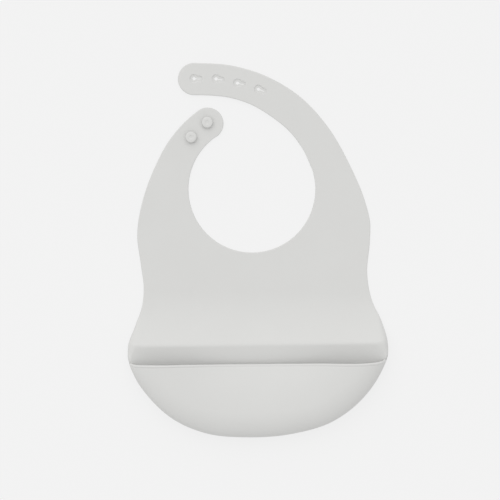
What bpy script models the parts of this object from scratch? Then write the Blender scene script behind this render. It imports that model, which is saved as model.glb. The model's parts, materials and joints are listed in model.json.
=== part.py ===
"""Silicone baby bib with a catch pocket, lying on its back: straps towards +Y, front face up (+Z).

The real bib is one soft moulding. It is modelled as its moulded regions, each a closed solid, and
they meet at the flex lines along which the soft sheet folds. All sizes here are in millimetres.
The origin is the middle of the bib's outline, on the surface that it lies on.
"""

import math

import bmesh
import bpy
from mathutils import Matrix, Vector
from mathutils.geometry import interpolate_bezier

MM = 0.001
OBJECT_NAME = "silicone_bib"

# Sheet and its flex lines
SHEET = 1.8  # thickness of the panel, the straps and the pocket walls
FLEX_GAP = 1.1  # slot at a flex line: a flat sheet folds 60 degrees either way before it touches
TOUCHING_GAP = 0.3  # between two pieces of one moulding that meet
STEPS = 6  # straight edges between two points of an outline

# Outer edge, counter-clockwise from the left strap's end, round the pocket, to the right strap's end
LEFT_STRAP_EDGE = [(-50.3, 118.6), (-60.3, 110.3), (-75.0, 93.3), (-86.7, 72.0), (-93.7, 55.0), (-98.8, 38.0)]
LEFT_SIDE_EDGE = [(-102.5, 12.5), (-99.3, -13.0), (-96.9, -34.0), (-98.1, -47.0), (-103.8, -64.0)]
POCKET_EDGE = [
    (-109.9, -81.0), (-110.2, -91.0), (-105.0, -106.5), (-92.0, -125.5), (-72.0, -143.5), (-45.0, -155.3),
    (-8.0, -159.0), (30.0, -155.9), (63.5, -145.6), (89.5, -125.5), (105.2, -102.5), (110.4, -89.0),
    (110.3, -78.5),
]
RIGHT_SIDE_EDGE = [(104.6, -59.5), (97.0, -43.0), (93.0, -21.0), (95.3, 8.0), (95.4, 24.0)]
RIGHT_STRAP_EDGE = [
    (92.1, 38.0), (78.2, 72.0), (58.4, 106.0), (34.1, 131.5), (4.9, 148.5), (-25.1, 157.0), (-53.4, 158.8),
]

# Neck opening: an arc, which the right strap's inner edge leaves on its way to the strap's end
NECK_CENTRE = (-5.0, 51.6)
NECK_RADIUS = 53.9
NECK_ARC = (17.5, -235.9)  # degrees about the neck centre, from the right strap round to the left one
RIGHT_STRAP_INNER_EDGE = [
    (-55.0, 131.4), (-40.6, 131.1), (-23.6, 129.1), (-6.6, 123.7), (10.4, 113.9), (27.4, 100.0), (38.7, 84.8),
]
LEFT_END_CENTRE = (-42.7, 107.3)
LEFT_END_RADIUS = 13.6
LEFT_END_ARC = (-55.9, 124.1)
RIGHT_END_CENTRE = (-54.2, 145.1)
RIGHT_END_RADIUS = 13.7
RIGHT_END_ARC = (86.8, 266.8)
STRAP_ROOT = 10.0  # the straps' outlines start below their lowest flex lines
STRAP_ROOT_ANGLES = (-150.0, -30.0)  # degrees about the neck centre, left and right
BETWEEN_STRAPS = 120.0  # the left strap ends below this, and left of the neck the right strap lies above

# Fastening: two mushroom buttons on the left strap, four keyholes in the right one
BUTTONS = {"button_upper": (-43.0, 108.2), "button_lower": (-56.7, 95.7)}
BUTTON_PROFILE = [  # radius and height, from the middle of the head's dimple to the foot of the stem
    (0.0, 2.7), (1.3, 2.7), (1.6, 3.1), (3.3, 3.0), (4.4, 2.8), (4.7, 2.4), (4.5, 2.0), (2.5, 2.0),
    (2.5, 0.0), (0.0, 0.0),
]
BUTTON_SIDES = 24
KEYHOLES = [(-54.2, 145.4), (-35.5, 145.3), (-17.3, 141.7), (0.5, 136.5)]
KEYHOLE_BACK = [-2.0, -10.0, -14.0, -22.0]  # degrees: each slit points back along the strap
KEYHOLE_RADIUS = 3.0
SLIT_HALF_WIDTH = 1.0
SLIT_REACH = 6.5
KEYHOLE_STEP = 15.0  # degrees between the points of its arcs

# Flex lines, each a point on the line, in the middle of the sheet, and the line's direction in degrees
LEFT_SHOULDER = ((-78.0, 38.0), 0.0)
LEFT_BEND = ((-71.5, 68.2), 166.0)
LEFT_CURL = ((-62.5, 86.2), 149.0)
RIGHT_SHOULDER = ((69.6, 38.0), 0.0)
RIGHT_BEND = ((57.4, 83.4), 27.0)
RIGHT_SWEEP = ((40.3, 107.6), 51.0)
RIGHT_CURL = ((14.1, 128.3), 76.0)
RIGHT_END_CURL = ((-26.4, 143.5), 79.0)
BELLY = ((0.0, -36.0), 0.0)

# Pocket: the belly rises to a crease, the back wall falls behind it to the floor, and the floor
# turns up round the outline into the front wall, which comes back over to the rim
CREASE_LEFT_Y = -81.7
CREASE_RIGHT_Y = -78.7
CREASE_GAP = 3.0  # slot along the crease, wider than a flat flex line's because the walls meet steeply
CREASE_HEIGHT = 12.0  # middle of the sheet, at the crease and all round the outline of the pocket
BACK_FALL = 120.0  # distance over which the back wall flattens out into the floor
SIDE_TURN = 13.0  # distance over which the floor turns up to the outline
FRONT_TURN = 27.0  # distance over which the front wall comes over from the outline
FRONT_RISE = 9.5  # height that it gains there
RIM_DIP = 7.5  # the front wall sinks again by this much towards the rim
RIM_DIP_REACH = 36.0
MOUTH_END_RISE = 0.4  # share of that rise beside the mouth's ends
MOUTH_END_START = 5.0  # distance past the crease where the share starts to grow
MOUTH_END_REACH = 25.0  # and the distance over which it grows to the whole
END_STEP = 3.0  # the pocket's walls stop this far from the crease's ends
RIM_LINE = [  # in plan, from beside the left outline to beside the right one
    (-104.1, -97.2), (-101.0, -98.3), (-96.0, -98.8), (-50.0, -98.4), (0.0, -97.9), (50.0, -97.4),
    (95.0, -97.0), (100.6, -96.6), (103.8, -95.4),
]
RIM_END_STEP = 4.0  # the front wall leaves the outline this far below the rim's ends
RIM_RADIUS = 1.3
PARTING_GAP = 2.4  # slot at mid-height between floor and front wall, which opens with the mouth
RIM_GAP = 0.5  # between the rim's bead and the front wall's edge

COLUMNS = 36  # across the pocket
FALL_ROWS = 5  # rows of a wall before it turns
TURN_ROWS = 5  # rows where it turns
TURN_MOST = 0.6  # most of a short wall that the turn's rows may take up
BELLY_ROW = 5.0  # distance between the belly's rows
WELD = 0.01  # points closer than this are one

SILICONE_COLOUR = (0.69, 0.69, 0.67, 1.0)
SILICONE_ROUGHNESS = 0.55


def smooth(knots, steps=STEPS):
    """Points along a smooth curve through the knots, which may be unevenly spaced."""
    knots = [Vector(knot) for knot in knots]
    spans = [b - a for a, b in zip(knots, knots[1:])]
    slopes = [span.normalized() for span in spans]
    tangents = [slopes[0]]
    for before, after, slope_in, slope_out in zip(spans, spans[1:], slopes, slopes[1:]):
        total = before.length + after.length
        tangents.append((slope_in * after.length + slope_out * before.length) / total)
    tangents.append(slopes[-1])
    points = [knots[0]]
    for start, span, leave, arrive in zip(knots, spans, tangents, tangents[1:]):
        handle = span.length / 3
        end = start + span
        curve = interpolate_bezier(start, start + leave * handle, end - arrive * handle, end, steps + 1)
        points += [Vector(point[:2]) for point in curve[1:]]
    return points


def arc(centre, radius, start, end, step=6.0):
    """Points on an arc between two angles in degrees, both ends included."""
    count = max(1, round(abs(end - start) / step))
    angles = [math.radians(start + (end - start) * i / count) for i in range(count + 1)]
    return [Vector(centre) + radius * Vector((math.cos(a), math.sin(a))) for a in angles]


def crossing(path, y):
    """Where a path passes a height."""
    for a, b in zip(path, path[1:]):
        if (a.y - y) * (b.y - y) <= 0 and a.y != b.y:
            return a.lerp(b, (y - a.y) / (b.y - a.y))
    raise ValueError("the path never passes that height")


def spaced(path, count):
    """The path as count evenly spaced steps."""
    lengths = [0.0]
    for a, b in zip(path, path[1:]):
        lengths.append(lengths[-1] + (b - a).length)
    points = []
    index = 0
    for i in range(count + 1):
        wanted = lengths[-1] * i / count
        while index < len(path) - 2 and lengths[index + 1] < wanted:
            index += 1
        span = lengths[index + 1] - lengths[index]
        points.append(path[index].lerp(path[index + 1], (wanted - lengths[index]) / span))
    return points


def inset(path, distance):
    """The path moved to its left, which is inwards on a counter-clockwise outline."""
    moved = []
    for i, point in enumerate(path):
        along = (path[min(i + 1, len(path) - 1)] - path[max(i - 1, 0)]).normalized()
        moved.append(point + Vector((-along.y, along.x)) * distance)
    return moved


def keep_side(outline, point, normal):
    """The part of a closed outline on the side of a line that the normal points to."""
    kept = []
    for a, b in zip(outline, outline[1:] + outline[:1]):
        side_a = (a - point).dot(normal)
        side_b = (b - point).dot(normal)
        if side_a >= 0:
            kept.append(a)
        if side_a * side_b < 0:
            kept.append(a.lerp(b, side_a / (side_a - side_b)))
    return kept


def line_normal(flex_line):
    """Unit normal of a flex line, turned counter-clockwise from its direction."""
    angle = math.radians(flex_line[1])
    return Vector((-math.sin(angle), math.cos(angle)))


def beyond(outline, flex_line, sign):
    """The part of an outline past a flex line, less half the slot; sign picks the side."""
    normal = line_normal(flex_line) * sign
    return keep_side(outline, Vector(flex_line[0]) + normal * FLEX_GAP / 2, normal)


def keyhole(centre, back):
    """Outline of a round hole with a slit that points back along the strap."""
    half_mouth = math.degrees(math.asin(SLIT_HALF_WIDTH / KEYHOLE_RADIUS))
    slit_end = SLIT_REACH - SLIT_HALF_WIDTH
    turn = Vector((math.cos(math.radians(back)), math.sin(math.radians(back))))
    round_part = arc(centre, KEYHOLE_RADIUS, back + half_mouth, back + 360 - half_mouth, KEYHOLE_STEP)
    end_part = arc(Vector(centre) + turn * slit_end, SLIT_HALF_WIDTH, back - 90, back + 90, KEYHOLE_STEP)
    return round_part + end_part


def silicone(name):
    """Light warm grey satin silicone."""
    material = bpy.data.materials.new(name + "_silicone")
    material.use_nodes = True
    shader = material.node_tree.nodes["Principled BSDF"]
    shader.inputs["Base Color"].default_value = SILICONE_COLOUR
    shader.inputs["Roughness"].default_value = SILICONE_ROUGHNESS
    shader.inputs["Metallic"].default_value = 0.0
    return material


def add_object(name, mesh, pivot):
    """Puts a mesh made in place into the bib's collection, with its origin on its joint's axis."""
    mesh.transform(Matrix.Translation(-Vector(pivot) * MM))
    mesh.materials.clear()
    mesh.materials.append(silicone(name))
    piece = bpy.data.objects.new(name, mesh)
    piece.location = Vector(pivot) * MM
    bib.objects.link(piece)
    return piece


def curve_mesh(curve):
    """A curve's evaluated mesh with its caps welded on; the curve itself is removed."""
    source = bpy.data.objects.new(curve.name, curve)
    bib.objects.link(source)
    bpy.context.view_layer.update()
    evaluated = source.evaluated_get(bpy.context.evaluated_depsgraph_get())
    mesh = bpy.data.meshes.new_from_object(evaluated)
    bpy.data.objects.remove(source)
    bpy.data.curves.remove(curve)
    work = bmesh.new()
    work.from_mesh(mesh)
    bmesh.ops.remove_doubles(work, verts=work.verts, dist=WELD * MM)
    bmesh.ops.recalc_face_normals(work, faces=work.faces)
    work.to_mesh(mesh)
    work.free()
    return mesh


def sheet_mesh(name, outline, holes=()):
    """A flat region of the sheet, lying on z = 0."""
    curve = bpy.data.curves.new(name, "CURVE")
    curve.dimensions = "2D"
    curve.fill_mode = "BOTH"
    curve.extrude = SHEET / 2 * MM
    for loop in (outline, *holes):
        spline = curve.splines.new("POLY")
        spline.points.add(len(loop) - 1)
        spline.use_cyclic_u = True
        for target, point in zip(spline.points, loop):
            target.co = (point.x * MM, point.y * MM, 0.0, 1.0)
    mesh = curve_mesh(curve)
    mesh.transform(Matrix.Translation((0.0, 0.0, SHEET / 2 * MM)))
    return mesh


def grid_sheet(name, rows, pivot):
    """A curved wall: a grid of middle-surface points thickened to the sheet."""
    work = bmesh.new()
    across = len(rows[0])
    bmesh.ops.create_grid(work, x_segments=across - 1, y_segments=len(rows) - 1, size=1.0)
    work.verts.ensure_lookup_table()
    for vertex, point in zip(work.verts, (point for row in rows for point in row)):
        vertex.co = Vector(point) * MM
    bmesh.ops.recalc_face_normals(work, faces=work.faces)
    mesh = bpy.data.meshes.new(name)
    work.to_mesh(mesh)
    work.free()
    piece = add_object(name, mesh, pivot)
    thicken = piece.modifiers.new("Thickness", "SOLIDIFY")
    thicken.thickness = SHEET * MM
    thicken.offset = 0.0
    mesh.shade_smooth()
    return piece


def crease_y(x):
    """The crease slants slightly across the bib."""
    share = (x - crease_left.x) / (crease_right.x - crease_left.x)
    return CREASE_LEFT_Y + (CREASE_RIGHT_Y - CREASE_LEFT_Y) * share


def belly_height(x, y):
    """Height of the belly's underside: it lies flat at the flex line and steepens to the crease."""
    start = BELLY[0][1]
    share = max(0.0, (start - y) / (start - crease_y(x)))
    return (CREASE_HEIGHT - SHEET / 2) * share**2


def wall_distance(point):
    """Distance in plan from the middle of the wall at the pocket's outline."""
    nearest = math.inf
    for a, b in zip(pocket_wall, pocket_wall[1:]):
        share = (point - a).dot(b - a) / (b - a).length_squared
        nearest = min(nearest, (point - a.lerp(b, min(1.0, max(0.0, share)))).length)
    return nearest


def floor_height(point):
    """Middle of the sheet on the pocket's back wall and floor."""
    behind = max(0.0, crease_y(point.x) - point.y)
    fall = max(0.0, 1.0 - behind / BACK_FALL) ** 2
    reach = min(1.0, wall_distance(point) / SIDE_TURN)
    turn = 1.0 - math.sqrt(1.0 - (1.0 - reach) ** 2)
    return SHEET / 2 + (CREASE_HEIGHT - SHEET / 2) * (fall + turn - fall * turn)


def front_height(point):
    """Middle of the sheet on the pocket's front wall."""
    distance = wall_distance(point)
    reach = min(1.0, distance / FRONT_TURN)
    rise = FRONT_RISE * math.sqrt(1.0 - (1.0 - reach) ** 2)
    dip = RIM_DIP * (max(0.0, distance - FRONT_TURN) / RIM_DIP_REACH) ** 2
    past_start = crease_y(point.x) - point.y - MOUTH_END_START
    grown = min(1.0, max(0.0, past_start / MOUTH_END_REACH))
    gain = MOUTH_END_RISE + (1.0 - MOUTH_END_RISE) * grown**2 * (3.0 - 2.0 * grown)
    return CREASE_HEIGHT + rise * gain - dip


def turn_shares(length, turn):
    """Shares of a line where a wall's rows lie: even at first, and closer where it turns."""
    turn = min(turn, TURN_MOST * length)
    even = [(length - turn) * i / FALL_ROWS for i in range(FALL_ROWS)]
    curved = [length - turn * (1 - math.sin(math.radians(90 * i / TURN_ROWS))) for i in range(TURN_ROWS + 1)]
    return [distance / length for distance in even + curved]


def turned(name, profile, centre, base, pivot):
    """A piece turned about a vertical line; its profile of (radius, height) runs from top to bottom."""
    mesh = bpy.data.meshes.new(name)
    points = [((centre[0] + radius) * MM, centre[1] * MM, (base + height) * MM) for radius, height in profile]
    mesh.from_pydata(points, [(i, i + 1) for i in range(len(points) - 1)], [])
    piece = add_object(name, mesh, pivot)
    axis = bpy.data.objects.new(name + "_axis", None)
    axis.location = Vector((centre[0], centre[1], base)) * MM
    guides.objects.link(axis)
    screw = piece.modifiers.new("Turn", "SCREW")
    screw.object = axis
    screw.steps = BUTTON_SIDES
    screw.render_steps = BUTTON_SIDES
    screw.use_merge_vertices = True
    screw.merge_threshold = WELD * MM
    return piece


def add_strap(name, outline, cuts, holes=()):
    """One stretch of a strap, between flex lines; the first cut is the line that it turns on."""
    for flex_line, sign in cuts:
        outline = beyond(outline, flex_line, sign)
    pivot = (*cuts[0][0][0], SHEET / 2)
    return add_object(name, sheet_mesh(name, outline, holes), pivot)


def make_left_strap():
    """The short strap, with the two buttons on its front face."""
    left = [point for point in outer_edge if point.x < NECK_CENTRE[0]]
    outer = [point for point in left if STRAP_ROOT < point.y < BETWEEN_STRAPS]
    inner = arc(NECK_CENTRE, NECK_RADIUS, STRAP_ROOT_ANGLES[0], NECK_ARC[1])
    strap = outer + inner[:-1] + left_end[:-1]
    add_strap("left_strap_base", strap, [(LEFT_SHOULDER, 1), (LEFT_BEND, 1)])
    add_strap("left_strap_middle", strap, [(LEFT_BEND, -1), (LEFT_CURL, 1)])
    add_strap("left_strap_end", strap, [(LEFT_CURL, -1)])
    for name, centre in BUTTONS.items():
        turned(name, BUTTON_PROFILE, centre, SHEET + TOUCHING_GAP, (*LEFT_CURL[0], SHEET / 2))


def make_right_strap():
    """The long strap, with the keyholes that take the buttons."""
    right = [point for point in outer_edge if point.x > NECK_CENTRE[0] or point.y > BETWEEN_STRAPS]
    outer = [point for point in right if point.y > STRAP_ROOT]
    root = arc(NECK_CENTRE, NECK_RADIUS, NECK_ARC[0], STRAP_ROOT_ANGLES[1])
    strap = outer + right_end[1:-1] + right_inner_edge[:-1] + root
    holes = [keyhole(centre, back) for centre, back in zip(KEYHOLES, KEYHOLE_BACK)]
    add_strap("right_strap_base", strap, [(RIGHT_SHOULDER, 1), (RIGHT_BEND, -1)])
    add_strap("right_strap_middle", strap, [(RIGHT_BEND, 1), (RIGHT_SWEEP, -1)])
    add_strap("right_strap_upper", strap, [(RIGHT_SWEEP, 1), (RIGHT_CURL, -1)])
    add_strap("right_strap_holes", strap, [(RIGHT_CURL, 1), (RIGHT_END_CURL, -1)], holes[2:])
    add_strap("right_strap_end", strap, [(RIGHT_END_CURL, 1)], holes[:2])


def make_chest():
    """The flat panel under the neck opening, which everything else hangs on."""
    whole = outer_edge + right_end[1:-1] + right_inner_edge[:-1] + neck + left_end[1:-1]
    outline = beyond(beyond(whole, LEFT_SHOULDER, -1), BELLY, 1)
    add_object("chest_panel", sheet_mesh("chest_panel", outline), (0.0, 0.0, 0.0))


def make_belly():
    """The panel below the chest, which rises to the crease at the pocket's back."""
    normal = Vector((-(CREASE_RIGHT_Y - CREASE_LEFT_Y), crease_right.x - crease_left.x)).normalized()
    outline = keep_side(beyond(outer_edge, BELLY, -1), crease_left + normal * CREASE_GAP / 2, normal)
    mesh = sheet_mesh("belly_panel", outline)
    work = bmesh.new()
    work.from_mesh(mesh)
    y = BELLY[0][1] - BELLY_ROW
    while y > CREASE_LEFT_Y:
        everything = work.verts[:] + work.edges[:] + work.faces[:]
        bmesh.ops.bisect_plane(work, geom=everything, plane_co=(0.0, y * MM, 0.0), plane_no=(0.0, 1.0, 0.0))
        y -= BELLY_ROW
    bmesh.ops.triangulate(work, faces=work.faces)
    for vertex in work.verts:
        vertex.co.z += belly_height(vertex.co.x / MM, vertex.co.y / MM) * MM
    work.to_mesh(mesh)
    work.free()
    add_object("belly_panel", mesh, (*BELLY[0], SHEET / 2))


def wall_below(left_y, right_y):
    """The wall round the pocket between two heights, one at either side, in evenly spaced points."""
    left_half = [point for point in pocket_wall if point.x < 0.0 and point.y < left_y]
    right_half = [point for point in pocket_wall if point.x >= 0.0 and point.y < right_y]
    wall_start = crossing(pocket_wall, left_y)
    wall_end = crossing(pocket_wall[::-1], right_y)
    return spaced([wall_start] + left_half + right_half + [wall_end], COLUMNS)


def make_pocket():
    """Back wall with floor, front wall and rim."""
    crease_start = crease_left + Vector((SHEET / 2 + END_STEP, -CREASE_GAP / 2))
    crease_end = crease_right + Vector((-SHEET / 2 - END_STEP, -CREASE_GAP / 2))
    bottom = wall_below(crease_start.y - END_STEP, crease_end.y - END_STEP)
    columns = []
    for j, end in enumerate(bottom):
        start = crease_start.lerp(crease_end, j / COLUMNS)
        shares = turn_shares((end - start).length, SIDE_TURN)
        columns.append([start.lerp(end, share) for share in shares])
    top = CREASE_HEIGHT - PARTING_GAP / 2
    columns = [[(p.x, p.y, min(top, floor_height(p))) for p in column] for column in columns]
    middle = crease_left.lerp(crease_right, 0.5)
    grid_sheet("pocket_back", list(zip(*columns)), (middle.x, middle.y, CREASE_HEIGHT))

    rim = spaced(smooth(RIM_LINE), COLUMNS)
    bottom = wall_below(rim[0].y - RIM_END_STEP, rim[-1].y - RIM_END_STEP)
    mouth_pivot = (0.0, min(point.y for point in bottom), CREASE_HEIGHT)
    top = CREASE_HEIGHT + PARTING_GAP / 2
    columns = []
    for on_rim, on_wall in zip(rim, bottom):
        start = on_rim + (on_wall - on_rim).normalized() * (RIM_RADIUS + RIM_GAP)
        shares = turn_shares((on_wall - start).length, FRONT_TURN)
        points = [start.lerp(on_wall, share) for share in shares]
        columns.append([(p.x, p.y, max(top, front_height(p))) for p in points])
    grid_sheet("pocket_front", list(zip(*columns)), mouth_pivot)

    curve = bpy.data.curves.new("pocket_rim", "CURVE")
    curve.dimensions = "3D"
    curve.bevel_depth = RIM_RADIUS * MM
    curve.bevel_resolution = 2
    curve.use_fill_caps = True
    spline = curve.splines.new("POLY")
    spline.points.add(COLUMNS)
    for target, point in zip(spline.points, rim):
        target.co = (point.x * MM, point.y * MM, front_height(point) * MM, 1.0)
    mesh = curve_mesh(curve)
    mesh.shade_smooth()
    add_object("pocket_rim", mesh, mouth_pivot)


for leftover in list(bpy.data.objects):
    bpy.data.objects.remove(leftover)

bib = bpy.data.collections.new(OBJECT_NAME)
guides = bpy.data.collections.new("guides")
bpy.context.scene.collection.children.link(bib)
bpy.context.scene.collection.children.link(guides)

outer_edge = smooth(LEFT_STRAP_EDGE + LEFT_SIDE_EDGE + POCKET_EDGE + RIGHT_SIDE_EDGE + RIGHT_STRAP_EDGE)
neck = arc(NECK_CENTRE, NECK_RADIUS, *NECK_ARC)
left_end = arc(LEFT_END_CENTRE, LEFT_END_RADIUS, *LEFT_END_ARC)
right_end = arc(RIGHT_END_CENTRE, RIGHT_END_RADIUS, *RIGHT_END_ARC)
right_inner_edge = smooth(RIGHT_STRAP_INNER_EDGE + [tuple(neck[0])])
crease_left = crossing(outer_edge, CREASE_LEFT_Y)
crease_right = crossing(outer_edge[::-1], CREASE_RIGHT_Y)
pocket_wall = inset([point for point in outer_edge if point.y < BELLY[0][1]], SHEET / 2)

make_chest()
make_left_strap()
make_right_strap()
make_belly()
make_pocket()
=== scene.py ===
"""Looks of the silicone bib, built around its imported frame.

The real bib is one moulding, so it is made here as one: a middle surface that covers the panel, the
straps and the pocket's floor, turns up round the pocket and comes back over as the front wall. That
surface is thickened with rounded edges and then cut into pieces, one for each flex line. The cuts lie
where the sheet doesn't bend, and both sides of a cut share their points and normals, so none shows.
All sizes are in millimetres until a mesh is made.
"""

import json
import math

import bpy
import numpy as np
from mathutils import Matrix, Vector
from mathutils.geometry import delaunay_2d_cdt, interpolate_bezier
from mathutils.kdtree import KDTree


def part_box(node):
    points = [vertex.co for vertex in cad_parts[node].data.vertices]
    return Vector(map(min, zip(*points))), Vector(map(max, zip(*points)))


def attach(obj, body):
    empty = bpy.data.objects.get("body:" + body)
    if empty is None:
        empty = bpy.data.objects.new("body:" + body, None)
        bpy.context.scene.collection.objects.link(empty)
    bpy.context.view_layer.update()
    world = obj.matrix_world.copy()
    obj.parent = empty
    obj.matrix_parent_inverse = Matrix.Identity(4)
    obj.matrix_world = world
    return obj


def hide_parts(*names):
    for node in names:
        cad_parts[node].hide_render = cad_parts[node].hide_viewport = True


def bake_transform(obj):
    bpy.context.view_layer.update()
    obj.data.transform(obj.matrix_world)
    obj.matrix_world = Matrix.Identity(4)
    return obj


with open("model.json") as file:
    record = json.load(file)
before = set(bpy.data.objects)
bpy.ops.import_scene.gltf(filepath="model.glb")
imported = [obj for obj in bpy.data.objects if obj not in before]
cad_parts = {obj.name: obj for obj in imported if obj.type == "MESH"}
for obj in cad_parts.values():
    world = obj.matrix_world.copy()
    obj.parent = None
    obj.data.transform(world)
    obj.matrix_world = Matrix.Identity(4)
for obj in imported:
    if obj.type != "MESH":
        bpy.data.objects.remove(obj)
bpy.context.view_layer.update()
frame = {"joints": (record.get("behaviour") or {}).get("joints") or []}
joints = {joint["name"]: joint for joint in frame["joints"]}

MM = 0.001
SHEET = 1.8  # thickness of the moulding
HALF = SHEET / 2

# Outer edge in plan, counter-clockwise from the left strap's end, round the pocket, to the right strap's
LEFT_STRAP_EDGE = [(-50.3, 118.6), (-60.3, 110.3), (-75.0, 93.3), (-86.7, 72.0), (-93.7, 55.0), (-98.8, 38.0)]
LEFT_SIDE_EDGE = [(-102.5, 12.5), (-99.3, -13.0), (-96.9, -34.0), (-98.1, -47.0), (-103.8, -64.0)]
POCKET_EDGE = [
    (-109.9, -81.0), (-110.2, -91.0), (-105.0, -106.5), (-92.0, -125.5), (-72.0, -143.5), (-45.0, -155.3),
    (-8.0, -159.0), (30.0, -155.9), (63.5, -145.6), (89.5, -125.5), (105.2, -102.5), (110.4, -89.0),
    (110.3, -78.5),
]
RIGHT_SIDE_EDGE = [(104.6, -59.5), (97.0, -43.0), (93.0, -21.0), (95.3, 8.0), (95.4, 24.0)]
RIGHT_STRAP_EDGE = [
    (92.1, 38.0), (78.2, 72.0), (58.4, 106.0), (34.1, 131.5), (4.9, 148.5), (-25.1, 157.0), (-53.4, 158.8),
]
NECK_CENTRE = (-5.0, 51.6)
NECK_RADIUS = 53.9
NECK_ARC = (17.5, -235.9)  # degrees
RIGHT_STRAP_INNER_EDGE = [
    (-55.0, 131.4), (-40.6, 131.1), (-23.6, 129.1), (-6.6, 123.7), (10.4, 113.9), (27.4, 100.0), (38.7, 84.8),
]
LEFT_END_CENTRE = (-42.7, 107.3)
LEFT_END_RADIUS = 13.6
LEFT_END_ARC = (-55.9, 124.1)
RIGHT_END_CENTRE = (-54.2, 145.1)
RIGHT_END_RADIUS = 13.7
RIGHT_END_ARC = (86.8, 266.8)

# Keyholes
KEYHOLES = [(-54.2, 145.4), (-35.5, 145.3), (-17.3, 141.7), (0.5, 136.5)]
KEYHOLE_BACK = [-2.0, -10.0, -14.0, -22.0]  # degrees: each slit points back along the strap
KEYHOLE_RADIUS = 1.4  # within a thin lip, which narrows the hole that the strap's full thickness leaves
SLIT_HALF_WIDTH = 0.3
SLIT_REACH = 5.6
LIP_WIDTH = 1.5  # between the hole's edge and the step up to the full thickness
LIP_STEP = 0.35
LIP_SHARE = 0.4  # thickness of the lip beside the sheet's
LIP_ROWS = [0.75, 1.47, 1.87, 2.35]  # distances from a keyhole's edge at which points follow it
KEYHOLE_STEP = 0.8  # distance between the points of a keyhole's edge

# Straps
STRAP_LIFT = 0.9  # the straps' ends lie this far off the surface that the bib lies on
STRAP_LIFT_FROM = 70.0  # places up the bib between which they rise
STRAP_LIFT_TO = 135.0

# Belly and crease
BELLY_TOP = joints["belly_fold"]["pos_m"][1] / MM
CREASE_MIDDLE = np.array(joints["pocket_fold"]["pos_m"]) / MM
CREASE_DIRECTION = -np.array(joints["pocket_fold"]["axis"][:2])
CREASE_ROUND = 1.6  # half the width over which the crease is rounded
CREASE_ROWS = [-2.7, -1.7, -1.1, -0.55, 0.55, 1.1, 1.7, 2.7]  # distances from it at which points follow it
BACK_FALL = 120.0  # distance over which the back wall flattens out into the floor

# Towards the crease the belly's sides roll down to the outline; past it the floor turns up to the outline
SIDE_ROLL = 0.45  # share of the belly's height that its sides lose
SIDE_RECOVERY = 25.0  # distance past the crease over which the outline rises to the crease's height
TURN_WIDTH = 1.17  # width of the turn beside its height
LEAST_TURN = 2.2  # least width of the turn
FULL_TURN = 2.5  # a turn at least this high ends upright
EDGE_BAND = 1.0  # width of the band of narrow rows inside the outline
BAND_ROWS = 9

# Front wall: it comes back over from the outline, and its rim springs from the outline at either end
FRONT_TURN = 19.0  # distance from the outline over which the wall turns level
FRONT_RISE = 9.5
MOUTH_END_RISE = 0.4  # share of that rise beside the mouth's ends
MOUTH_END_START = 5.0  # distance past the crease at which the wall starts to gain its full rise
MOUTH_END_REACH = 25.0  # and the distance that this takes
RIM_DIP = 5.4  # how far the wall sinks again
RIM_DIP_REACH = 36.0  # by this distance past its turn
RIM_LINE = [
    (-109.0, -96.0), (-107.4, -97.4), (-104.0, -98.5), (-97.0, -98.8), (-50.0, -98.4), (0.0, -97.9),
    (50.0, -97.4), (95.0, -97.0), (101.0, -96.4), (105.4, -95.2), (109.0, -93.0),
]
BEAD = [  # distance from the rim's middle line, and what the bead adds to half the sheet's thickness
    (3.2, 0.0), (2.4, 0.0), (1.9, -0.03), (1.55, -0.08), (1.3, -0.1), (1.1, -0.04), (0.8, 0.12), (0.45, 0.24),
    (0.0, 0.28),
]
BEAD_SHARE = 0.5  # most of a short wall that the bead may take up
BEAD_GROWTH = 6.0  # the bead has its full height where the wall is at least this long
GATE_MARK = (2.3, -96.8)  # the nub that the moulding's gate leaves on the rim
GATE_RADIUS = 1.1
GATE_HEIGHT = 0.35

# Seams across the bib, as heights in plan, and the one past the crease as its distance from it
CHEST_TOP = 28.0
CHEST_BOTTOM = -22.0
BELLY_BOTTOM = -58.0
PAST_CREASE = 6.3

# A place in plan on each of the two pieces that aren't found by a flex line
CHEST_SPOT = (0.0, 0.0)
POCKET_SPOT = (0.0, -125.0)

# Mesh
CURVE_STEPS = 10  # between two knots of an outline
ARC_STEP = 3.0  # degrees between the points of an arc
NECK_STEP = 1.5  # and between those of the neck opening
COLUMN_STEP = 1.8  # distance between the points of the outline
LATTICE = 2.7  # distance between the points of the panel
LATTICE_ROW = math.sqrt(0.75)  # distance between its rows, beside that
LATTICE_CLEAR = 0.62 * LATTICE  # its points keep this far from the seams and the edges
FINE_CLEAR = 0.35  # and the points beside the crease and the keyholes keep this far
SAME_POINT = 1e-5  # points closer than this are one
FRONT_ROWS = 18  # up the front wall, before the bead
FRONT_SAMPLES = 90  # along a column, to find where those rows go
FRONT_GATHER = 1.2  # how much those rows gather where the wall turns
EDGE_STEPS = 8  # round the sheet's edge
EDGE_ROUNDNESS = 0.75  # 1 is a half circle, and less is squarer
BEAD_FROM = 0.05  # an edge thicker than the sheet by this much is a bead, and fully round
SETTLE_ROUNDS = 12  # most tries at thinning the sheet where its inside would fold over
SETTLE_LIMIT = 0.15  # least size of an inner face beside the middle one
SETTLE_STEP = 0.75  # share of the thickness that each try leaves there

# Half the width of the blend at each flex line, listed with the pieces but not used to bend them
STRAP_BEND = 6.5
SHOULDER_BEND = 9.0
# How far the mouth's line leans back towards the outline; the direction made from it is not used
MOUTH_SLOPE = 0.06

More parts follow.
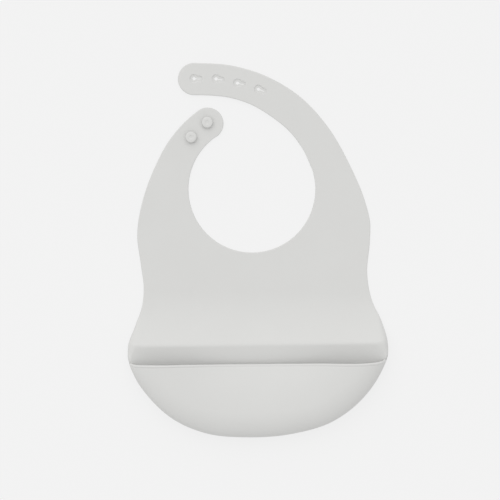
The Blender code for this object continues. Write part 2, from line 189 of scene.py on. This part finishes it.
# Button
BUTTON_PROFILE = [  # radius and height above the strap, from its stem's foot to the middle of its dimple
    (3.7, -0.1), (3.1, 0.08), (2.7, 0.35), (2.5, 0.8), (2.5, 1.6), (2.65, 2.0), (3.1, 2.2), (4.0, 2.28),
    (4.45, 2.36), (4.68, 2.6), (4.68, 2.85), (4.5, 3.1), (4.15, 3.26), (3.5, 3.36), (2.6, 3.4), (1.75, 3.4),
    (1.5, 3.32), (1.3, 3.18), (0.9, 3.1), (0.45, 3.08),
]
BUTTON_SIDES = 64

# Silicone; each noise has its scale, per metre, and its detail
COLOUR_LOW = (0.613, 0.613, 0.600, 1.0)
COLOUR_HIGH = (0.633, 0.633, 0.621, 1.0)
COLOUR_NOISE = (26.0, 3.0)
ROUGHNESS_LOW = 0.5
ROUGHNESS_HIGH = 0.62
ROUGHNESS_NOISE = (140.0, 4.0)
GRAIN_NOISE = (2600.0, 2.0)
GRAIN_STRENGTH = 0.12
GRAIN_DEPTH = 0.00008
INDEX = 1.41
SHEEN = 0.12
SHEEN_ROUGHNESS = 0.45

# Stage, in metres
SENSOR = 36.0  # in millimetres
CAMERA_HEIGHT = 4.0
CAMERA_REACH = 20.0
VIEW_WIDTH = 0.425
VIEW_CENTRE = (-0.0066, -0.0002)
FILL = 0.78  # light from all round
KEY = 1.15
KEY_ANGLE = 80.0  # a wide lamp, so its shadows are soft
KEY_FROM = (-0.28, 0.75, 1.0)
FLOOR_REACH = 20.0
WHITE = (1.0, 1.0, 1.0, 1.0)
PAPER = (0.12, 0.12, 0.12, 1.0)  # what the paper reflects; the rest of its brightness is its own
PAPER_GLOW = 0.765


def smooth(knots):
    """Points along a smooth curve through the knots, which may be unevenly spaced."""
    knots = [Vector(knot) for knot in knots]
    spans = [b - a for a, b in zip(knots, knots[1:])]
    slopes = [span.normalized() for span in spans]
    tangents = [slopes[0]]
    for before, after, slope_in, slope_out in zip(spans, spans[1:], slopes, slopes[1:]):
        total = before.length + after.length
        tangents.append((slope_in * after.length + slope_out * before.length) / total)
    tangents.append(slopes[-1])
    points = [tuple(knots[0])]
    for start, span, leave, arrive in zip(knots, spans, tangents, tangents[1:]):
        handle = span.length / 3
        end = start + span
        curve = interpolate_bezier(start, start + leave * handle, end - arrive * handle, end, CURVE_STEPS + 1)
        points += [tuple(point[:2]) for point in curve[1:]]
    return points


def arc(centre, radius, start, end, step=ARC_STEP):
    """Points on an arc between two angles in degrees, both ends included."""
    count = max(1, round(abs(end - start) / step))
    angles = [math.radians(start + (end - start) * i / count) for i in range(count + 1)]
    return [(centre[0] + radius * math.cos(a), centre[1] + radius * math.sin(a)) for a in angles]


def ease(share):
    """A share from 0 to 1 that starts and ends gently."""
    share = np.clip(share, 0.0, 1.0)
    return share * share * (3 - 2 * share)


def lengths_along(path):
    """Distance from the first point of a path to each point."""
    return np.concatenate([[0.0], np.cumsum(np.linalg.norm(np.diff(path, axis=0), axis=1))])


def at_lengths(path, lengths):
    """Points of a path at the given distances along it."""
    along = lengths_along(path)
    return np.column_stack([np.interp(lengths, along, path[:, k]) for k in range(path.shape[1])])


def crossings(loop, point, direction):
    """Distances along a closed loop at which a line passes it, nearest to the point on either side of it."""
    normal = np.array([-direction[1], direction[0]])
    along = lengths_along(loop)
    side = (loop - point) @ normal
    nearest = {}
    for i in np.nonzero(side[:-1] * side[1:] < 0)[0]:
        share = side[i] / (side[i] - side[i + 1])
        place = loop[i] + (loop[i + 1] - loop[i]) * share
        reach = (place - point) @ direction
        key = reach > 0
        if key not in nearest or abs(reach) < nearest[key][0]:
            nearest[key] = (abs(reach), along[i] + (along[i + 1] - along[i]) * share)
    return [nearest[False][1], nearest[True][1]]


def inside(loop, points):
    """Which points lie inside a closed loop."""
    found = np.zeros(len(points), bool)
    for (ax, ay), (bx, by) in zip(loop, np.roll(loop, -1, axis=0)):
        if ay == by:
            continue
        spans = (points[:, 1] < ay) != (points[:, 1] < by)
        found ^= spans & (points[:, 0] < ax + (bx - ax) * (points[:, 1] - ay) / (by - ay))
    return found


def distance_to(path, points):
    """Distance in plan from each point to a path."""
    nearest = np.full(len(points), np.inf)
    for a, b in zip(path, path[1:]):
        share = np.clip((points - a) @ (b - a) / ((b - a) @ (b - a)), 0.0, 1.0)
        nearest = np.minimum(nearest, np.linalg.norm(points - a - share[:, None] * (b - a), axis=1))
    return nearest


def crease_y(x):
    """The crease slants slightly across the bib."""
    return CREASE_MIDDLE[1] + (x - CREASE_MIDDLE[0]) * CREASE_DIRECTION[1] / CREASE_DIRECTION[0]


def base_height(points):
    """Middle of the sheet on the panel, the belly, the back wall and the floor, without the turned edge."""
    crease = crease_y(points[:, 0])
    rise = CREASE_MIDDLE[2] - HALF
    up = np.clip((BELLY_TOP - points[:, 1]) / (BELLY_TOP - crease), 0.0, 1.0)
    behind = crease - points[:, 1]
    down = np.clip(1.0 - behind / BACK_FALL, 0.0, 1.0)
    height = HALF + rise * np.where(behind < 0, up, down) ** 2
    fold = 2 * rise / (BELLY_TOP - crease) + 2 * rise / BACK_FALL  # change of slope at the crease
    rounding = np.maximum(0.0, CREASE_ROUND - np.abs(behind)) ** 2 / (4 * CREASE_ROUND)
    lift = STRAP_LIFT * ease((points[:, 1] - STRAP_LIFT_FROM) / (STRAP_LIFT_TO - STRAP_LIFT_FROM))
    return height - fold * rounding + lift


def outline_path():
    """The bib's outline as one closed loop, counter-clockwise."""
    neck = arc(NECK_CENTRE, NECK_RADIUS, *NECK_ARC, step=NECK_STEP)
    outer = smooth(LEFT_STRAP_EDGE + LEFT_SIDE_EDGE + POCKET_EDGE + RIGHT_SIDE_EDGE + RIGHT_STRAP_EDGE)
    right_end = arc(RIGHT_END_CENTRE, RIGHT_END_RADIUS, *RIGHT_END_ARC)
    inner = smooth(RIGHT_STRAP_INNER_EDGE + [neck[0]])
    left_end = arc(LEFT_END_CENTRE, LEFT_END_RADIUS, *LEFT_END_ARC)
    return np.array(outer + right_end[1:-1] + inner[:-1] + neck[:-1] + left_end[:-1] + outer[:1])


def keyhole(centre, back):
    """Middle surface's edge round a keyhole, which lies half the lip's thickness outside the hole itself."""
    radius = KEYHOLE_RADIUS + HALF * LIP_SHARE
    half_width = SLIT_HALF_WIDTH + HALF * LIP_SHARE
    half_mouth = math.degrees(math.asin(half_width / radius))
    slit_end = SLIT_REACH - SLIT_HALF_WIDTH
    turn = (math.cos(math.radians(back)), math.sin(math.radians(back)))
    round_part = arc(centre, radius, back + half_mouth, back + 360 - half_mouth)
    slit_centre = (centre[0] + turn[0] * slit_end, centre[1] + turn[1] * slit_end)
    end_part = arc(slit_centre, half_width, back - 90, back + 90)
    path = np.array(round_part + end_part + round_part[:1])
    total = lengths_along(path)[-1]
    return at_lengths(path, np.linspace(0.0, total, round(total / KEYHOLE_STEP) + 1)[:-1])


def flex_line(name):
    """A flex line in plan: a point on it and its direction."""
    return np.array(joints[name]["pos_m"][:2]) / MM, np.array(joints[name]["axis"][:2])


def seam_between(first, second):
    """The line halfway between two flex lines."""
    (point_a, direction_a), (point_b, direction_b) = flex_line(first), flex_line(second)
    direction = direction_a + direction_b
    return (point_a + point_b) / 2, direction / np.linalg.norm(direction)


def seam_lines():
    """Every line along which the moulding is cut into pieces; the crease comes last and isn't cut."""
    level = np.array([1.0, 0.0])
    past = CREASE_MIDDLE[:2] - np.array([0.0, PAST_CREASE])
    return [
        (np.array([flex_line("left_shoulder_flex")[0][0], CHEST_TOP]), level),
        (np.array([flex_line("right_shoulder_flex")[0][0], CHEST_TOP]), level),
        (np.array([0.0, CHEST_BOTTOM]), level),
        (np.array([0.0, BELLY_BOTTOM]), level),
        (past, CREASE_DIRECTION),
        seam_between("left_shoulder_flex", "left_bend_flex"),
        seam_between("left_bend_flex", "left_curl_flex"),
        seam_between("right_shoulder_flex", "right_bend_flex"),
        seam_between("right_bend_flex", "right_sweep_flex"),
        seam_between("right_sweep_flex", "right_curl_flex"),
        seam_between("right_curl_flex", "right_end_flex"),
        (CREASE_MIDDLE[:2], CREASE_DIRECTION),
    ]


class Surface:
    """The middle surface: points, faces, half the thickness at each point, and the edges to cut along."""

    def __init__(self):
        self.points = np.zeros((0, 3))
        self.half = np.zeros(0)
        self.faces = []
        self.cuts = set()

    def add(self, points, half=HALF):
        """Adds points and gives back their numbers."""
        first = len(self.points)
        self.points = np.vstack([self.points, points])
        self.half = np.concatenate([self.half, np.broadcast_to(half, len(points))])
        return list(range(first, len(self.points)))


def outline_columns(loop, lines):
    """Points of the outline with one at each end of every seam, and which points those are."""
    ends = [crossings(loop, *line) for line in lines]
    stations = sorted(length for pair in ends for length in pair)
    total = lengths_along(loop)[-1]
    lengths = []
    for start, end in zip(stations, stations[1:] + [stations[0] + total]):
        count = max(1, round((end - start) / COLUMN_STEP))
        lengths += [start + (end - start) * i / count for i in range(count)]
    lengths = np.array(lengths)
    columns = at_lengths(loop, lengths % total)
    pairs = [tuple(int(np.argmin(np.abs(lengths - length))) for length in pair) for pair in ends]
    return columns, pairs


def inward(columns):
    """Unit vectors that point into the material."""
    along = np.roll(columns, -1, axis=0) - np.roll(columns, 1, axis=0)
    along /= np.linalg.norm(along, axis=1)[:, None]
    return np.column_stack([-along[:, 1], along[:, 0]])


def edge_band(columns, normals):
    """Rows of the edge's turn at each column, as plan positions and heights, from inside to the outline."""
    wall = columns + normals * HALF
    behind = crease_y(wall[:, 0]) - wall[:, 1]
    base = base_height(wall)
    roll = SIDE_ROLL * (CREASE_MIDDLE[2] - HALF)
    top = CREASE_MIDDLE[2] - roll * (1 - ease(behind / SIDE_RECOVERY))
    height = np.where(behind < 0, -SIDE_ROLL * (base - HALF), top - base)
    turn = math.pi / 2 * ease(np.abs(height) / FULL_TURN)
    width = np.maximum(LEAST_TURN, TURN_WIDTH * np.abs(height))
    rows = []
    for k in range(BAND_ROWS + 1):
        angle = turn * k / BAND_ROWS
        spread = EDGE_BAND * (1 - k / BAND_ROWS) ** (1 + np.sin(turn))
        place = wall + normals * (width * (np.sin(turn) - np.sin(angle)) + spread)[:, None]
        rows.append(np.column_stack([place, base_height(place) + height * (1 - np.cos(angle))]))
    return np.array(rows)


def front_turn(distance):
    """Share of the front wall's rise that it has at a distance from the outline."""
    return np.sqrt(1.0 - (1.0 - np.clip(distance / FRONT_TURN, 0.0, 1.0)) ** 2)


def front_height(points, outline, foot_height, rise):
    """Middle of the sheet on the front wall, where rise is that of its turn."""
    distance = distance_to(outline, points)
    dip = RIM_DIP * (np.maximum(0.0, distance - FRONT_TURN) / RIM_DIP_REACH) ** 2
    return foot_height + rise * front_turn(distance) - dip


def row_places(length, rise):
    """Distances along a column of the front wall at which its rows lie; they gather where it turns."""
    places = (1 - np.sin(np.linspace(0.0, math.pi / 2, FRONT_SAMPLES))[::-1]) * length
    heights = rise * front_turn(places)
    steps = np.hypot(np.diff(places), np.diff(heights))
    angles = np.unwrap(np.arctan2(np.diff(heights), np.diff(places)))
    turning = np.concatenate([[0.0], np.cumsum(np.abs(np.diff(angles)))])
    weight = np.cumsum(steps) / steps.sum() + FRONT_GATHER * turning / turning[-1]
    weight = np.concatenate([[0.0], weight])
    return np.interp(np.linspace(0, weight[-1], FRONT_ROWS + 1)[1:], weight, places)


def front_rows(walls):
    """Rows of the front wall over the outline from one end of the rim to the other, ends left out."""
    rim = np.array(smooth(RIM_LINE))
    outline = walls[:, :2]
    along = lengths_along(outline)
    edge = at_lengths(rim, along / along[-1] * lengths_along(rim)[-1])[1:-1]
    feet = walls[1:-1]
    past = (crease_y(feet[:, 0]) - feet[:, 1] - MOUTH_END_START) / MOUTH_END_REACH
    rises = FRONT_RISE * (MOUTH_END_RISE + (1 - MOUTH_END_RISE) * ease(past))
    bead_reach, bead_rise = np.array(BEAD).T
    columns = []
    halves = []
    for foot, end, rise in zip(feet[:, :2], edge, rises):
        length = np.linalg.norm(end - foot)
        zone = min(bead_reach[0], BEAD_SHARE * length)
        beads = length - bead_reach[1:] * zone / bead_reach[0]
        places = np.concatenate([row_places(length - zone, rise), beads])
        columns.append(foot + (end - foot) / length * places[:, None])
        more = ease(length / BEAD_GROWTH) * bead_rise[1:]
        halves.append(HALF + np.concatenate([np.zeros(FRONT_ROWS), more]))
    rows = np.array(columns).transpose(1, 0, 2)
    gate = np.linalg.norm(rows - np.array(GATE_MARK), axis=2) / GATE_RADIUS
    halves = np.array(halves).T + GATE_HEIGHT * np.exp(-2 * gate**2)
    heights = [front_height(row, outline, feet[:, 2], rises) for row in rows]
    return np.dstack([rows, heights]), halves


def spread_points(loop, holes, ends):
    """Points inside the panel: along the seams and the crease, and a lattice between them."""
    fixed = [tuple(point) for point in loop] + [tuple(point) for hole in holes for point in hole]
    edges = [(i, (i + 1) % len(loop)) for i in range(len(loop))]
    first = len(loop)
    for hole in holes:
        edges += [(first + i, first + (i + 1) % len(hole)) for i in range(len(hole))]
        first += len(hole)
    seam_edges = []
    for a, b in ends:
        start, end = loop[a], loop[b]
        count = max(2, round(np.linalg.norm(end - start) / LATTICE))
        numbers = [a] + [len(fixed) + i for i in range(count - 1)] + [b]
        fixed += [tuple(start + (end - start) * i / count) for i in range(1, count)]
        seam_edges.append([len(edges) + i for i in range(count)])
        edges += list(zip(numbers, numbers[1:]))

    fine = []
    crease_start, crease_end = sorted((loop[ends[-1][0]], loop[ends[-1][1]]), key=lambda point: point[0])
    count = round(np.linalg.norm(crease_end - crease_start) / LATTICE)
    for hole in holes:
        away = -inward(hole)
        for offset in LIP_ROWS:
            fine += [tuple(point) for point in hole + away * offset]
    for offset in CREASE_ROWS:
        for i in range(1, count):
            x, y = crease_start + (crease_end - crease_start) * i / count
            fine.append((x, y - offset))
    lattice = []
    low, high = loop.min(axis=0), loop.max(axis=0)
    rows = int((high[1] - low[1]) / (LATTICE * LATTICE_ROW))
    across = int((high[0] - low[0]) / LATTICE)
    for j in range(rows + 1):
        for i in range(across + 1):
            x = low[0] + (i + 0.5 * (j % 2)) * LATTICE
            lattice.append((x, low[1] + j * LATTICE * LATTICE_ROW))

    for points, least in ((np.array(fine), FINE_CLEAR), (np.array(lattice), LATTICE_CLEAR)):
        points = points[inside(loop, points)]
        for hole in holes:
            points = points[~inside(hole, points)]
        tree = KDTree(len(fixed))
        for i, point in enumerate(fixed):
            tree.insert((*point, 0.0), i)
        tree.balance()
        fixed += [tuple(point) for point in points if tree.find((*point, 0.0))[2] > least]
    return fixed, edges, seam_edges


def middle_surface():
    """Builds the whole middle surface and gives it back with its seams marked."""
    lines = seam_lines()
    columns, ends = outline_columns(outline_path(), lines)
    normals = inward(columns)
    for column, sign in zip(ends[-1], (1, -1)):
        normals[column] = CREASE_DIRECTION * sign
    band = edge_band(columns, normals)
    loop = band[0, :, :2]
    holes = [keyhole(centre, back) for centre, back in zip(KEYHOLES, KEYHOLE_BACK)]
    fixed, edges, seam_edges = spread_points(loop, holes, ends)

    places, made_edges, made_faces, sources, edge_sources, _ = delaunay_2d_cdt(
        [Vector(point) for point in fixed], edges, [], 0, SAME_POINT)
    places = np.array([tuple(place) for place in places])
    number = {source: made for made, group in enumerate(sources) for source in group}
    triangles = np.array([tuple(face) for face in made_faces])
    centres = places[triangles].mean(axis=1)
    keep = inside(loop, centres)
    for hole in holes:
        keep &= ~inside(hole, centres)
    triangles = triangles[keep]
    a, b, c = places[triangles[:, 0]], places[triangles[:, 1]], places[triangles[:, 2]]
    turn = (b - a)[:, 0] * (c - a)[:, 1] - (b - a)[:, 1] * (c - a)[:, 0]
    triangles[turn < 0] = triangles[turn < 0][:, ::-1]

    surface = Surface()
    beside_hole = np.min([distance_to(np.vstack([hole, hole[:1]]), places) for hole in holes], axis=0)
    share = LIP_SHARE + (1 - LIP_SHARE) * ease((beside_hole - LIP_WIDTH) / LIP_STEP)
    surface.add(np.column_stack([places, base_height(places)]), HALF * share)
    surface.faces += [tuple(int(v) for v in triangle) for triangle in triangles]
    cut_sources = {edge for group in seam_edges[:-1] for edge in group}
    for (p, q), group in zip(made_edges, edge_sources):
        if cut_sources & set(group):
            surface.cuts.add(frozenset((p, q)))

    grid = [[number[i] for i in range(len(columns))]]
    for row in band[1:]:
        grid.append(surface.add(row))
    for upper, lower in zip(grid, grid[1:]):
        upper_next = upper[1:] + upper[:1]
        lower_next = lower[1:] + lower[:1]
        surface.faces += list(zip(upper, lower, lower_next, upper_next))
    for column in {column for pair in ends[:-1] for column in pair}:
        surface.cuts |= {frozenset((upper[column], lower[column])) for upper, lower in zip(grid, grid[1:])}
    add_front(surface, band[-1], grid[-1])
    return surface


def add_front(surface, walls, wall_numbers):
    """Adds the front wall, which springs from one point of the outline at either end of the rim."""
    rim_ends = (RIM_LINE[0], RIM_LINE[-1])
    before, after = (int(np.argmin(np.linalg.norm(walls[:, :2] - end, axis=1))) for end in rim_ends)
    rows, halves = front_rows(walls[before:after + 1])
    grid = [wall_numbers[before + 1:after]]
    for row, half in zip(rows, halves):
        grid.append(surface.add(row, half))
    for upper, lower in zip(grid, grid[1:]):
        surface.faces += list(zip(upper, lower, lower[1:], upper[1:]))
        surface.faces.append((wall_numbers[before], lower[0], upper[0]))
        surface.faces.append((upper[-1], lower[-1], wall_numbers[after]))


def face_normals(points, faces):
    """Area vector of each face, by its own diagonals."""
    quads = np.array([face if len(face) == 4 else (*face, face[0]) for face in faces])
    a, b, c, d = (points[quads[:, k]] for k in range(4))
    triangle = np.array([len(face) == 3 for face in faces])
    d = np.where(triangle[:, None], a, d)
    return np.cross(c - a, d - b) / 2


def point_normals(points, faces):
    """Unit normal at each point, weighted by the area of the faces round it."""
    areas = face_normals(points, faces)
    total = np.zeros_like(points)
    for k in range(4):
        index = np.array([face[k] if k < len(face) else face[0] for face in faces])
        use = np.array([k < len(face) for face in faces])
        np.add.at(total, index[use], areas[use])
    length = np.linalg.norm(total, axis=1)
    length[length == 0] = 1.0
    return total / length[:, None]


def settle(points, normals, half, faces, sign):
    """Half thickness on one side, less where the sheet turns so tightly that its inside would fold over."""
    half = half.copy()
    middle = face_normals(points, faces)
    size = np.linalg.norm(middle, axis=1)
    for _ in range(SETTLE_ROUNDS):
        moved = face_normals(points + sign * normals * half[:, None], faces)
        bad = np.einsum("ij,ij->i", middle, moved) < SETTLE_LIMIT * size * size
        if not bad.any():
            break
        touched = sorted({v for i in np.nonzero(bad)[0] for v in faces[i]})
        half[touched] *= SETTLE_STEP
    return half


def directed_edges(faces):
    """Every edge of the faces, in the direction in which its face runs."""
    return {(face[k], face[(k + 1) % len(face)]) for face in faces for k in range(len(face))}


class Moulding:
    """The thickened sheet: its points and normals, and a ring of points round the edge at each edge point."""

    def __init__(self, surface):
        self.surface = surface
        self.faces = surface.faces
        points = surface.points
        normals = point_normals(points, self.faces)
        directed = directed_edges(self.faces)
        self.edge = [(a, b) for a, b in directed if (b, a) not in directed]
        after = dict(self.edge)
        before = {b: a for a, b in self.edge}
        top_half = settle(points, normals, surface.half, self.faces, 1)
        bottom_half = settle(points, normals, surface.half, self.faces, -1)
        count = len(points)
        top = points + normals * top_half[:, None]
        bottom = points - normals * bottom_half[:, None]
        self.ring = {}
        extra = []
        for v in sorted(after):
            along = points[after[v]] - points[before[v]]
            outward = np.cross(along, normals[v])
            outward /= np.linalg.norm(outward)
            numbers = [v]
            half = surface.half[v]
            roundness = 1.0 if half > HALF + BEAD_FROM else EDGE_ROUNDNESS
            for j in range(1, EDGE_STEPS):
                angle = math.pi * j / EDGE_STEPS
                out = half * math.sin(angle) ** roundness
                up = abs(math.cos(angle)) ** roundness
                up *= top_half[v] if j < EDGE_STEPS / 2 else -bottom_half[v]
                numbers.append(2 * count + len(extra))
                extra.append(points[v] + outward * out + normals[v] * up)
            self.ring[v] = numbers + [count + v]
        self.points = np.vstack([top, bottom, np.array(extra)])
        self.count = count
        skin = list(self.faces) + [tuple(count + v for v in reversed(face)) for face in self.faces]
        skin += [quad for a, b in self.edge for quad in self.edge_quads(a, b)]
        self.normals = point_normals(self.points, skin)

    def edge_quads(self, a, b):
        """Faces round the sheet's edge between two neighbouring edge points."""
        ring_a, ring_b = self.ring[a], self.ring[b]
        return [(ring_a[j], ring_a[j + 1], ring_b[j + 1], ring_b[j]) for j in range(EDGE_STEPS)]

    def regions(self):
        """Groups of faces that no seam divides."""
        owner = {}
        for i, face in enumerate(self.faces):
            for k in range(len(face)):
                owner[(face[k], face[(k + 1) % len(face)])] = i
        label = [-1] * len(self.faces)
        groups = []
        for start in range(len(self.faces)):
            if label[start] >= 0:
                continue
            label[start] = len(groups)
            group, waiting = [], [start]
            while waiting:
                i = waiting.pop()
                group.append(i)
                face = self.faces[i]
                for k in range(len(face)):
                    a, b = face[k], face[(k + 1) % len(face)]
                    other = owner.get((b, a))
                    is_cut = frozenset((a, b)) in self.surface.cuts
                    if other is not None and label[other] < 0 and not is_cut:
                        label[other] = label[start]
                        waiting.append(other)
            groups.append(group)
        return groups

    def piece(self, name, group):
        """One piece of the moulding, closed across its seams."""
        faces = [self.faces[i] for i in group]
        directed = directed_edges(faces)
        rim = [(a, b) for a, b in sorted(directed) if (b, a) not in directed]
        real = set(self.edge)
        skin = faces + [tuple(self.count + v for v in reversed(face)) for face in faces]
        skin += [quad for a, b in rim if (a, b) in real for quad in self.edge_quads(a, b)]
        seams = [(a, b) for a, b in rim if (a, b) not in real]
        caps = [(a, self.count + a, self.count + b, b) for a, b in seams]
        starts = {a for a, _ in seams}
        ends = {b for _, b in seams}
        caps += [tuple(self.ring[v]) for v in sorted(starts - ends)]
        caps += [tuple(reversed(self.ring[v])) for v in sorted(ends - starts)]
        used = sorted({v for face in skin + caps for v in face})
        number = {v: i for i, v in enumerate(used)}
        mesh = bpy.data.meshes.new(name)
        mesh.from_pydata(self.points[used] * MM, [], [[number[v] for v in face] for face in skin + caps])
        mesh.polygons.foreach_set("use_smooth", [True] * len(skin) + [False] * len(caps))
        mesh.update()
        corner_normals = [tuple(self.normals[v]) for face in skin for v in face]
        for polygon, face in zip(list(mesh.polygons)[len(skin):], caps):
            corner_normals += [tuple(polygon.normal)] * len(face)
        mesh.normals_split_custom_set(corner_normals)
        made = bpy.data.objects.new(name, mesh)
        bpy.context.scene.collection.objects.link(made)
        return made


def add_pieces(moulding):
    """Cuts the moulding up and gives each piece its finish; only the chest piece is tied to a body."""
    tree = KDTree(len(moulding.faces))
    for i, face in enumerate(moulding.faces):
        x, y, _ = moulding.surface.points[list(face)].mean(axis=0)
        tree.insert((x, y, 0.0), i)
    tree.balance()
    groups = moulding.regions()
    group_of = {i: group for group in groups for i in group}

    def cut(name, at, nodes):
        """The piece that lies at a place in plan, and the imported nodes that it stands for."""
        group = group_of[tree.find((*at, 0.0))[1]]
        made = moulding.piece(name, group)
        made.data.materials.append(silicone)
        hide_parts(*nodes)
        return made

    chest = cut("chest_skin", CHEST_SPOT, ["chest_panel"])
    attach(chest, "chest")
    straps = [
        ("left_shoulder_skin", "left_shoulder_flex", ["left_strap_base"], SHOULDER_BEND),
        ("left_bend_skin", "left_bend_flex", ["left_strap_middle"], STRAP_BEND),
        ("left_curl_skin", "left_curl_flex", ["left_strap_end"], STRAP_BEND),
        ("right_shoulder_skin", "right_shoulder_flex", ["right_strap_base"], SHOULDER_BEND),
        ("right_bend_skin", "right_bend_flex", ["right_strap_middle"], STRAP_BEND),
        ("right_sweep_skin", "right_sweep_flex", ["right_strap_upper"], STRAP_BEND),
        ("right_curl_skin", "right_curl_flex", ["right_strap_holes"], STRAP_BEND),
        ("right_end_skin", "right_end_flex", ["right_strap_end"], STRAP_BEND),
    ]
    for name, joint_name, nodes, bend in straps:
        point, direction = flex_line(joint_name)
        made = cut(name, point, nodes)
        bend_at(made)
    belly = cut("belly_skin", flex_line("belly_fold")[0], ["belly_panel"])
    bend_at(belly)
    crease = cut("crease_skin", flex_line("pocket_fold")[0], ["pocket_back"])
    bend_at(crease)
    pocket = cut("pocket_skin", POCKET_SPOT, ["pocket_front", "pocket_rim"])
    direction = np.array([0.0, -MOUTH_SLOPE, 1.0])
    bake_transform(pocket)


def bend_at(piece):
    """Bakes the piece's transform into its mesh; nothing here bends it."""
    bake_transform(piece)


def add_button(node):
    """A mushroom button where the frame has it."""
    low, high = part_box(node)
    centre = (low + high) / 2
    radius_scale = (high.x - low.x) / 2 / MM / max(radius for radius, _ in BUTTON_PROFILE)
    points = []
    for radius, height in BUTTON_PROFILE:
        for k in range(BUTTON_SIDES):
            angle = 2 * math.pi * k / BUTTON_SIDES
            reach = radius * radius_scale * MM
            x = centre.x + reach * math.cos(angle)
            y = centre.y + reach * math.sin(angle)
            points.append((x, y, (SHEET + height) * MM))
    rings = len(BUTTON_PROFILE)
    faces = []
    for j in range(rings - 1):
        for k in range(BUTTON_SIDES):
            turned = (k + 1) % BUTTON_SIDES
            lower, upper = j * BUTTON_SIDES, (j + 1) * BUTTON_SIDES
            faces.append((lower + k, lower + turned, upper + turned, upper + k))
    faces.append(tuple(reversed(range(BUTTON_SIDES))))
    faces.append(tuple((rings - 1) * BUTTON_SIDES + k for k in range(BUTTON_SIDES)))
    mesh = bpy.data.meshes.new(node + "_turned")
    mesh.from_pydata(points, [], faces)
    mesh.shade_smooth()
    made = bpy.data.objects.new(node + "_turned", mesh)
    bpy.context.scene.collection.objects.link(made)
    made.data.materials.append(silicone)
    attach(made, "left_end")
    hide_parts(node)


def make_silicone():
    """Light warm grey moulded silicone: satin, with a fine matt grain and faint unevenness."""
    material = bpy.data.materials.new("moulded_silicone")
    material.use_nodes = True
    tree = material.node_tree
    nodes, links = tree.nodes, tree.links
    shader = nodes["Principled BSDF"]
    shader.inputs["IOR"].default_value = INDEX
    shader.inputs["Sheen Weight"].default_value = SHEEN
    shader.inputs["Sheen Roughness"].default_value = SHEEN_ROUGHNESS
    place = nodes.new("ShaderNodeTexCoord").outputs["Object"]

    def noise(scale, detail):
        node = nodes.new("ShaderNodeTexNoise")
        node.inputs["Scale"].default_value = scale
        node.inputs["Detail"].default_value = detail
        links.new(place, node.inputs["Vector"])
        return node.outputs["Fac"]

    cloud = noise(*COLOUR_NOISE)
    colour = nodes.new("ShaderNodeMix")
    colour.data_type = "RGBA"
    colour.inputs["A"].default_value = COLOUR_LOW
    colour.inputs["B"].default_value = COLOUR_HIGH
    links.new(cloud, colour.inputs["Factor"])
    links.new(colour.outputs["Result"], shader.inputs["Base Color"])

    rough = nodes.new("ShaderNodeMapRange")
    rough.inputs["To Min"].default_value = ROUGHNESS_LOW
    rough.inputs["To Max"].default_value = ROUGHNESS_HIGH
    links.new(noise(*ROUGHNESS_NOISE), rough.inputs["Value"])
    links.new(rough.outputs["Result"], shader.inputs["Roughness"])

    grain = nodes.new("ShaderNodeBump")
    grain.inputs["Strength"].default_value = GRAIN_STRENGTH
    grain.inputs["Distance"].default_value = GRAIN_DEPTH
    links.new(noise(*GRAIN_NOISE), grain.inputs["Height"])
    links.new(grain.outputs["Normal"], shader.inputs["Normal"])
    return material


def make_stage():
    """Pale floor, soft light from the top left, and the camera straight above."""
    scene = bpy.context.scene
    scene.view_settings.view_transform = "Standard"
    camera = bpy.data.cameras.new("camera")
    camera.sensor_width = SENSOR
    camera.lens = SENSOR * CAMERA_HEIGHT / VIEW_WIDTH
    camera.clip_end = CAMERA_REACH
    eye = bpy.data.objects.new("camera", camera)
    eye.location = (VIEW_CENTRE[0], VIEW_CENTRE[1], CAMERA_HEIGHT)
    scene.collection.objects.link(eye)
    scene.camera = eye

    world = bpy.data.worlds.new("studio")
    world.use_nodes = True
    background = world.node_tree.nodes["Background"]
    background.inputs["Color"].default_value = WHITE
    background.inputs["Strength"].default_value = FILL
    scene.world = world

    lamp = bpy.data.lights.new("soft_key", "SUN")
    lamp.energy = KEY
    lamp.angle = math.radians(KEY_ANGLE)
    key = bpy.data.objects.new("soft_key", lamp)
    key.rotation_mode = "QUATERNION"
    key.rotation_quaternion = Vector(KEY_FROM).to_track_quat("Z", "Y")
    scene.collection.objects.link(key)

    mesh = bpy.data.meshes.new("floor")
    corners = [(-1, -1), (1, -1), (1, 1), (-1, 1)]
    mesh.from_pydata([(x * FLOOR_REACH, y * FLOOR_REACH, 0.0) for x, y in corners], [], [(0, 1, 2, 3)])
    floor = bpy.data.objects.new("floor", mesh)
    scene.collection.objects.link(floor)
    paper = bpy.data.materials.new("paper")
    paper.use_nodes = True
    shader = paper.node_tree.nodes["Principled BSDF"]
    shader.inputs["Base Color"].default_value = PAPER
    shader.inputs["Emission Color"].default_value = WHITE
    shader.inputs["Emission Strength"].default_value = PAPER_GLOW
    shader.inputs["Roughness"].default_value = 1.0
    shader.inputs["Specular IOR Level"].default_value = 0.0
    mesh.materials.append(paper)


make_stage()
silicone = make_silicone()
add_pieces(Moulding(middle_surface()))
add_button("button_upper")
add_button("button_lower")
